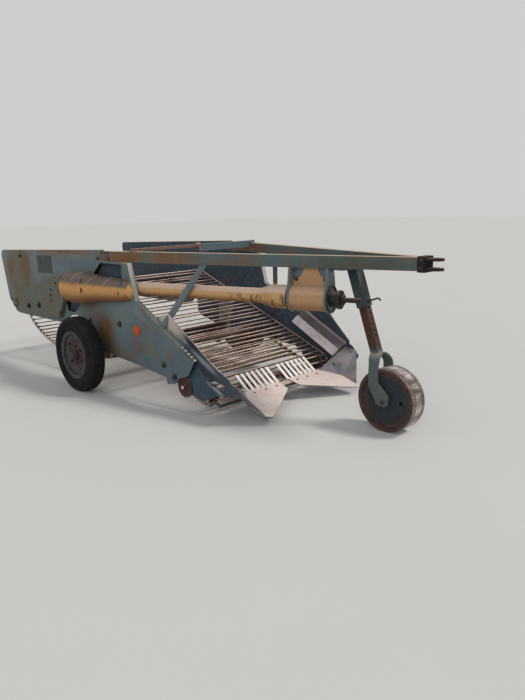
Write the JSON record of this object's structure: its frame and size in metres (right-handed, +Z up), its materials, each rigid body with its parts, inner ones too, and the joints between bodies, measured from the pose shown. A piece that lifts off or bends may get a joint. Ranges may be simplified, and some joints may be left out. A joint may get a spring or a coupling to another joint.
{
  "type": "towed potato harvester",
  "caption": "Towed potato digger with an open rod web between blue side panels, slanted shares, a triangular drawbar, a covered drive line, road wheels and a steel depth wheel.",
  "frame": {"origin": "on the ground, midway along the length and on the machine's centre plane", "axes": "+X forward to the hitch, +Y to the machine's left, +Z up"},
  "size_m": [4.77, 2.043, 1.2203],
  "materials": {
    "blue_paint": "faded matt blue paint with dust",
    "nose_paint": "thin worn blue-grey paint",
    "bare_steel": "soil-polished steel",
    "web_steel": "worn steel with light rust",
    "rusty_steel": "brown rust",
    "dark_steel": "greasy dark steel",
    "dusty_paint": "tan dust over old paint",
    "case_iron": "dusty casting",
    "rim_paint": "dull grey-blue paint",
    "tyre_rubber": "dusty black rubber",
    "reflector_red": "orange-red reflector"
  },
  "bodies": {
    "machine": {"panel_right": "blue_paint", "panel_left": "blue_paint", "wall_right": "blue_paint", "wall_left": "blue_paint", "nose_right": "nose_paint", "nose_left": "nose_paint", "deflector_right": "bare_steel", "deflector_left": "bare_steel", "share_right": "bare_steel", "share_left": "bare_steel", "share_beam": "blue_paint", "fingers_right": "bare_steel", "fingers_left": "bare_steel", "beam_right": "blue_paint", "beam_left": "blue_paint", "hitch_head": "rusty_steel", "strut_right": "blue_paint", "strut_left": "blue_paint", "cross_bar": "rusty_steel", "rear_tie": "blue_paint", "axle_tube": "dark_steel", "axle_arm_right": "dark_steel", "axle_arm_left": "dark_steel", "web": "web_steel", "drive_roller": "dark_steel", "front_roller": "dark_steel", "support_rollers": "dark_steel", "idler_right": "rusty_steel", "idler_left": "rusty_steel", "gear_housing": "case_iron", "chain_case": "blue_paint", "guard_tube": "dusty_paint", "guard_drum": "dusty_paint", "hangers": "blue_paint", "post_sleeve": "blue_paint", "lock_pin": "dark_steel", "reflector_right": "reflector_red", "reflector_left": "reflector_red"},
    "wheel_right": {"tyre_right": "tyre_rubber", "rim_right": "rim_paint"},
    "wheel_left": {"tyre_left": "tyre_rubber", "rim_left": "rim_paint"},
    "depth_post": {"inner_post": "rusty_steel"},
    "depth_roll": {"depth_wheel": "bare_steel"},
    "drive_input": {"input_shaft": "dark_steel"}
  },
  "joints": [
    {"name": "right_wheel_spin", "type": "hinge", "parent": "machine", "child": "wheel_right", "pos_m": [-0.465, -0.949, 0.3225], "axis": [0, 1, 0], "continuous": true},
    {"name": "left_wheel_spin", "type": "hinge", "parent": "machine", "child": "wheel_left", "pos_m": [-0.465, 0.949, 0.3225], "axis": [0, 1, 0], "continuous": true},
    {"name": "depth_post_slide", "type": "slide", "parent": "machine", "child": "depth_post", "axis": [-0.3256, 0, 0.9455], "range_m": [-0.12, 0.12]},
    {"name": "depth_wheel_spin", "type": "hinge", "parent": "depth_post", "child": "depth_roll", "pos_m": [2.035, 0, 0.22], "axis": [0, 1, 0], "continuous": true},
    {"name": "input_shaft_spin", "type": "hinge", "parent": "machine", "child": "drive_input", "pos_m": [1.79952, -0.14205, 0.89], "axis": [0.9606, 0.278, 0], "continuous": true}
  ]
}
